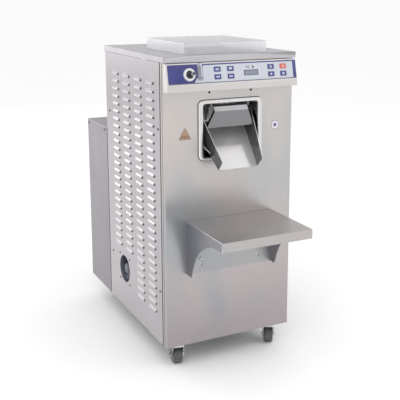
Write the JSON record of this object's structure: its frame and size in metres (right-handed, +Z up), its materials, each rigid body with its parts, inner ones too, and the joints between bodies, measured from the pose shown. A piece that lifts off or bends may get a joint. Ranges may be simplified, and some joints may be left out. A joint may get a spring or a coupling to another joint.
{
  "type": "batch freezer",
  "caption": "Floor-standing stainless batch freezer with console, lidded mix tank, front discharge chute, hang-on shelf, louvred sides, rear condenser housing and castors.",
  "frame": {"origin": "on the floor, under the middle of the machine's whole footprint", "axes": "+X to the right seen from the front, +Y to the rear, +Z up"},
  "size_m": [0.613, 1.324, 1.394],
  "materials": {
    "panel_steel": "fine brushed stainless sheet, satin",
    "bright_steel": "polished stainless, food contact",
    "structure_steel": "zinc-grey structural steel",
    "chrome": "chrome plate",
    "zinc": "bright zinc plate",
    "membrane": "printed polyester membrane, satin",
    "key_blue": "embossed membrane key, satin",
    "key_red": "embossed membrane key, satin",
    "display": "display window behind clear film",
    "clear_plastic": "clear polycarbonate",
    "dark_plastic": "moulded, fine texture",
    "wheel_rubber": "grey solid rubber tyre",
    "belt_rubber": "matt rubber",
    "white_plastic": "acetal, smooth",
    "foam": "closed-cell foam jacket",
    "cast": "painted casting",
    "aluminium": "natural, fins and castings",
    "black_paint": "semi-gloss black enamel"
  },
  "bodies": {
    "cabinet": {"front_panel": "panel_steel", "left_side_panel": "panel_steel", "right_side_panel": "panel_steel", "rear_panel": "panel_steel", "top_cover": "panel_steel", "rear_housing": "panel_steel", "rear_grille": "panel_steel", "console_housing": "panel_steel", "opening_bezel": "panel_steel", "recess_liner": "bright_steel", "upper_tank": "bright_steel", "tank_grid": "bright_steel", "cylinder_front": "bright_steel", "freezing_cylinder": "bright_steel", "transfer_valve": "bright_steel", "base_tray": "structure_steel", "frame": "structure_steel", "fasteners": "zinc", "castor_plates": "zinc", "valve_escutcheon": "chrome", "lid_hinge": "chrome", "keypad_membrane": "membrane", "display_window": "display", "cable_gland": "dark_plastic", "level_probe": "dark_plastic", "side_fan_frame": "dark_plastic", "drive_belt": "belt_rubber", "condenser": "aluminium", "drive_motor": "aluminium", "compressor": "black_paint", "fan_shroud": "black_paint"},
    "lever": {"valve_lever": "chrome"},
    "lid": {"tank_lid": "clear_plastic"},
    "agitator": {"tank_agitator": "bright_steel"},
    "gate": {"discharge_gate": "white_plastic"},
    "hood": {"discharge_hood": "bright_steel"},
    "chute": {"chute": "bright_steel"},
    "beater": {"beater": "white_plastic", "driven_pulley": "cast"},
    "motor_rotor": {"motor_pulley": "cast"},
    "condenser_fan": {"condenser_fan": "dark_plastic"},
    "side_fan": {"side_fan_rotor": "dark_plastic"},
    "shelf": {"shelf_tray": "panel_steel", "shelf_bracket": "panel_steel"},
    "key_1": {"key_1": "key_blue"},
    "key_2": {"key_2": "key_blue"},
    "key_3": {"key_3": "key_blue"},
    "key_4": {"key_4": "key_red"},
    "key_5": {"key_5": "key_blue"},
    "key_6": {"key_6": "key_blue"},
    "key_7": {"key_7": "key_blue"},
    "key_8": {"key_8": "key_blue"},
    "castor_1": {"castor_fork_1": "zinc"},
    "wheel_1": {"castor_wheel_1": "wheel_rubber"},
    "castor_2": {"castor_fork_2": "zinc"},
    "wheel_2": {"castor_wheel_2": "wheel_rubber"},
    "castor_3": {"castor_fork_3": "zinc"},
    "wheel_3": {"castor_wheel_3": "wheel_rubber"},
    "castor_4": {"castor_fork_4": "zinc"},
    "wheel_4": {"castor_wheel_4": "wheel_rubber"}
  },
  "joints": [
    {"name": "lever_turn", "type": "hinge", "parent": "cabinet", "child": "lever", "pos_m": [-0.2007, -0.36795, 1.27198], "axis": [0, -0.9765, 0.2157], "range_deg": [0, 90]},
    {"name": "lid_hinge", "type": "hinge", "parent": "cabinet", "child": "lid", "pos_m": [0, 0.112, 1.356], "axis": [-1, 0, 0], "range_deg": [0, 95]},
    {"name": "agitator_spin", "type": "hinge", "parent": "cabinet", "child": "agitator", "pos_m": [0.095, -0.038, 1.28], "axis": [0, 0, 1], "continuous": true},
    {"name": "gate_slide", "type": "slide", "parent": "cabinet", "child": "gate", "axis": [0, 0, 1], "range_m": [0, 0.033]},
    {"name": "hood_hinge", "type": "hinge", "parent": "cabinet", "child": "hood", "pos_m": [0, -0.328, 1.137], "axis": [-1, 0, 0], "range_deg": [0, 40]},
    {"name": "chute_tilt", "type": "hinge", "parent": "cabinet", "child": "chute", "pos_m": [0, -0.24614, 1.0489], "axis": [-1, 0, 0], "range_deg": [0, 20]},
    {"name": "beater_spin", "type": "hinge", "parent": "cabinet", "child": "beater", "pos_m": [0, -0.038, 1.145], "axis": [0, 1, 0], "continuous": true},
    {"name": "motor_spin", "type": "hinge", "parent": "cabinet", "child": "motor_rotor", "pos_m": [0, 0.252, 0.75], "axis": [0, 1, 0], "continuous": true},
    {"name": "condenser_fan_spin", "type": "hinge", "parent": "cabinet", "child": "condenser_fan", "pos_m": [0, 0.528, 0.53], "axis": [0, 1, 0], "continuous": true},
    {"name": "side_fan_spin", "type": "hinge", "parent": "cabinet", "child": "side_fan", "pos_m": [-0.284, 0.153, 0.305], "axis": [1, 0, 0], "continuous": true},
    {"name": "shelf_lift", "type": "slide", "parent": "cabinet", "child": "shelf", "axis": [0, 0, 1], "range_m": [0, 0.02]},
    {"name": "key_1_press", "type": "slide", "parent": "cabinet", "child": "key_1", "axis": [0, 0.9765, -0.2157], "range_m": [0, 0.0008], "stiffness_N_per_m": 900, "springref_m": -0.0005},
    {"name": "key_2_press", "type": "slide", "parent": "cabinet", "child": "key_2", "axis": [0, 0.9765, -0.2157], "range_m": [0, 0.0008], "stiffness_N_per_m": 900, "springref_m": -0.0005},
    {"name": "key_3_press", "type": "slide", "parent": "cabinet", "child": "key_3", "axis": [0, 0.9765, -0.2157], "range_m": [0, 0.0008], "stiffness_N_per_m": 900, "springref_m": -0.0005},
    {"name": "key_4_press", "type": "slide", "parent": "cabinet", "child": "key_4", "axis": [0, 0.9765, -0.2157], "range_m": [0, 0.0008], "stiffness_N_per_m": 900, "springref_m": -0.0005},
    {"name": "key_5_press", "type": "slide", "parent": "cabinet", "child": "key_5", "axis": [0, 0.9765, -0.2157], "range_m": [0, 0.0008], "stiffness_N_per_m": 900, "springref_m": -0.0005},
    {"name": "key_6_press", "type": "slide", "parent": "cabinet", "child": "key_6", "axis": [0, 0.9765, -0.2157], "range_m": [0, 0.0008], "stiffness_N_per_m": 900, "springref_m": -0.0005},
    {"name": "key_7_press", "type": "slide", "parent": "cabinet", "child": "key_7", "axis": [0, 0.9765, -0.2157], "range_m": [0, 0.0008], "stiffness_N_per_m": 900, "springref_m": -0.0005},
    {"name": "key_8_press", "type": "slide", "parent": "cabinet", "child": "key_8", "axis": [0, 0.9765, -0.2157], "range_m": [0, 0.0008], "stiffness_N_per_m": 900, "springref_m": -0.0005},
    {"name": "castor_1_swivel", "type": "hinge", "parent": "cabinet", "child": "castor_1", "pos_m": [-0.228, -0.293, 0.1], "axis": [0, 0, 1], "continuous": true},
    {"name": "wheel_1_roll", "type": "hinge", "parent": "castor_1", "child": "wheel_1", "pos_m": [-0.22218, -0.26561, 0.0375], "axis": [0.9781, -0.2079, 0], "continuous": true},
    {"name": "castor_2_swivel", "type": "hinge", "parent": "cabinet", "child": "castor_2", "pos_m": [0.228, -0.293, 0.1], "axis": [0, 0, 1], "continuous": true},
    {"name": "wheel_2_roll", "type": "hinge", "parent": "castor_2", "child": "wheel_2", "pos_m": [0.24114, -0.26828, 0.0375], "axis": [0.8829, -0.4695, 0], "continuous": true},
    {"name": "castor_3_swivel", "type": "hinge", "parent": "cabinet", "child": "castor_3", "pos_m": [-0.185, 0.542, 0.1], "axis": [0, 0, 1], "continuous": true},
    {"name": "wheel_3_roll", "type": "hinge", "parent": "castor_3", "child": "wheel_3", "pos_m": [-0.18793, 0.56985, 0.0375], "axis": [0.9945, 0.1045, 0], "continuous": true},
    {"name": "castor_4_swivel", "type": "hinge", "parent": "cabinet", "child": "castor_4", "pos_m": [0.185, 0.542, 0.1], "axis": [0, 0, 1], "continuous": true},
    {"name": "wheel_4_roll", "type": "hinge", "parent": "castor_4", "child": "wheel_4", "pos_m": [0.18744, 0.56989, 0.0375], "axis": [0.9962, -0.0872, 0], "continuous": true}
  ],
  "couplings": [
    {"joint": "motor_spin", "follows": "beater_spin", "ratio": 2.5}
  ]
}
